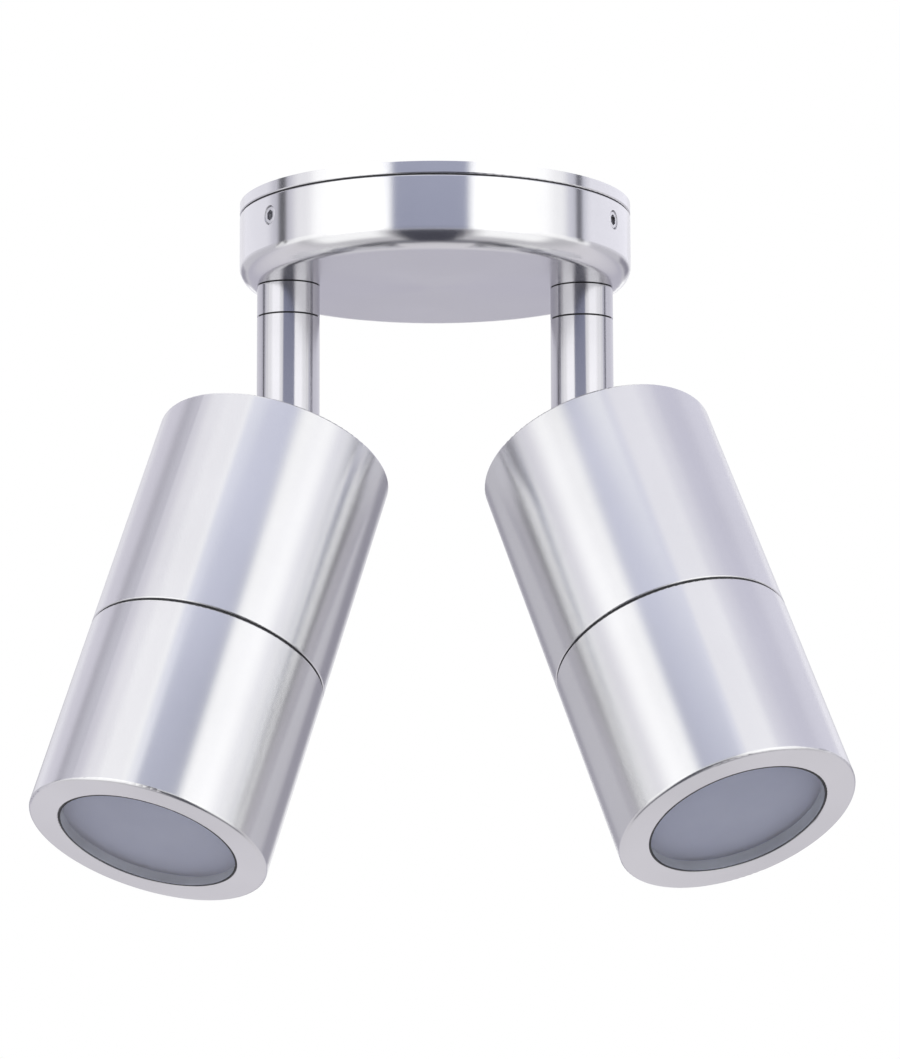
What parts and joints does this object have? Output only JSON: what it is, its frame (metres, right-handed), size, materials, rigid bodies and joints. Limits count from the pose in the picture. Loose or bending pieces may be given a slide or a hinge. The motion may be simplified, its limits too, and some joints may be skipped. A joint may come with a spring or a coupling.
{
  "type": "twin adjustable wall spotlight",
  "caption": "Outdoor wall or soffit spotlight in satin aluminium: round base, swivelling stems and tilting cylindrical heads with flush frosted lenses and screw-off fronts.",
  "frame": {"origin": "centre of the wall face of the back plate", "axes": "+Z out of the wall face, away from the lamp heads; +X along the line through the two stems, towards the right-hand spotlight as seen in the picture; the heads hang towards -Z"},
  "size_m": [0.1995, 0.1284, 0.1793],
  "materials": {
    "satin_aluminium": "satin",
    "stainless_steel": "brushed",
    "black_rubber": "matte",
    "black_nylon": "matte",
    "white_plastic": "matte",
    "white_ceramic": "matte",
    "brass": "satin",
    "frosted_glass": "frosted",
    "lamp_body": "gloss"
  },
  "bodies": {
    "base": {"back_plate": "satin_aluminium", "plate_ring": "satin_aluminium", "wall_seal": "black_rubber", "canopy_seal": "black_rubber", "canopy": "satin_aluminium", "canopy_screws": "stainless_steel", "cable_grommet": "black_rubber", "terminal_block": "white_plastic", "terminal_screws": "brass", "earth_screw": "brass", "left_collar": "satin_aluminium", "left_collar_seal": "black_rubber", "left_collar_nut": "stainless_steel", "right_collar": "satin_aluminium", "right_collar_seal": "black_rubber", "right_collar_nut": "stainless_steel"},
    "left_stem": {"left_stem": "satin_aluminium", "left_stop_pin": "stainless_steel", "left_swivel_washer": "black_nylon", "left_spring_washer": "stainless_steel", "left_stem_clip": "stainless_steel", "left_knuckle_bolt": "stainless_steel", "left_knuckle_washers": "black_nylon"},
    "left_head": {"left_lug": "satin_aluminium", "left_lug_seal": "black_rubber", "left_lug_nut": "stainless_steel", "left_rear_housing": "satin_aluminium", "left_lamp": "lamp_body", "left_lampholder": "white_ceramic", "left_lampholder_bracket": "stainless_steel", "left_bracket_standoffs": "stainless_steel", "left_bracket_screws": "stainless_steel"},
    "left_front_seal": {"left_barrel_seal": "black_rubber"},
    "left_front": {"left_front_barrel": "satin_aluminium", "left_lens_seal": "black_rubber", "left_lens": "frosted_glass", "left_lens_retainer": "satin_aluminium"},
    "right_stem": {"right_stem": "satin_aluminium", "right_stop_pin": "stainless_steel", "right_swivel_washer": "black_nylon", "right_spring_washer": "stainless_steel", "right_stem_clip": "stainless_steel", "right_knuckle_bolt": "stainless_steel", "right_knuckle_washers": "black_nylon"},
    "right_head": {"right_lug": "satin_aluminium", "right_lug_seal": "black_rubber", "right_lug_nut": "stainless_steel", "right_rear_housing": "satin_aluminium", "right_lamp": "lamp_body", "right_lampholder": "white_ceramic", "right_lampholder_bracket": "stainless_steel", "right_bracket_standoffs": "stainless_steel", "right_bracket_screws": "stainless_steel"},
    "right_front_seal": {"right_barrel_seal": "black_rubber"},
    "right_front": {"right_front_barrel": "satin_aluminium", "right_lens_seal": "black_rubber", "right_lens": "frosted_glass", "right_lens_retainer": "satin_aluminium"}
  },
  "joints": [
    {"name": "left_swivel", "type": "hinge", "parent": "base", "child": "left_stem", "pos_m": [-0.0375, 0, -0.0292], "axis": [0, 0, 1], "range_deg": [-139.6, 40.4]},
    {"name": "left_tilt", "type": "hinge", "parent": "left_stem", "child": "left_head", "pos_m": [-0.0375, 0, -0.0552], "axis": [-0.7615, 0.6481, 0], "range_deg": [-25.2, 64.8]},
    {"name": "left_front_advance", "type": "slide", "parent": "left_head", "child": "left_front_seal", "axis": [-0.276, -0.3242, -0.9048], "range_m": [0, 0.0101]},
    {"name": "left_front_unscrew", "type": "hinge", "parent": "left_front_seal", "child": "left_front", "pos_m": [-0.05751, -0.02351, -0.1208], "axis": [-0.276, -0.3242, -0.9048], "range_deg": [0, 1800]},
    {"name": "right_swivel", "type": "hinge", "parent": "base", "child": "right_stem", "pos_m": [0.0375, 0, -0.0292], "axis": [0, 0, 1], "range_deg": [-32.8, 147.2]},
    {"name": "right_tilt", "type": "hinge", "parent": "right_stem", "child": "right_head", "pos_m": [0.0375, 0, -0.0552], "axis": [-0.8406, -0.5417, 0], "range_deg": [-29.7, 60.3]},
    {"name": "right_front_advance", "type": "slide", "parent": "right_head", "child": "right_front_seal", "axis": [0.2684, -0.4165, -0.8686], "range_m": [0, 0.0101]},
    {"name": "right_front_unscrew", "type": "hinge", "parent": "right_front_seal", "child": "right_front", "pos_m": [0.05696, -0.03019, -0.11818], "axis": [0.2684, -0.4165, -0.8686], "range_deg": [0, 1800]}
  ],
  "couplings": [
    {"joint": "left_front_advance", "follows": "left_front_unscrew", "m_per_rad": 0.00031831},
    {"joint": "right_front_advance", "follows": "right_front_unscrew", "m_per_rad": 0.00031831}
  ]
}
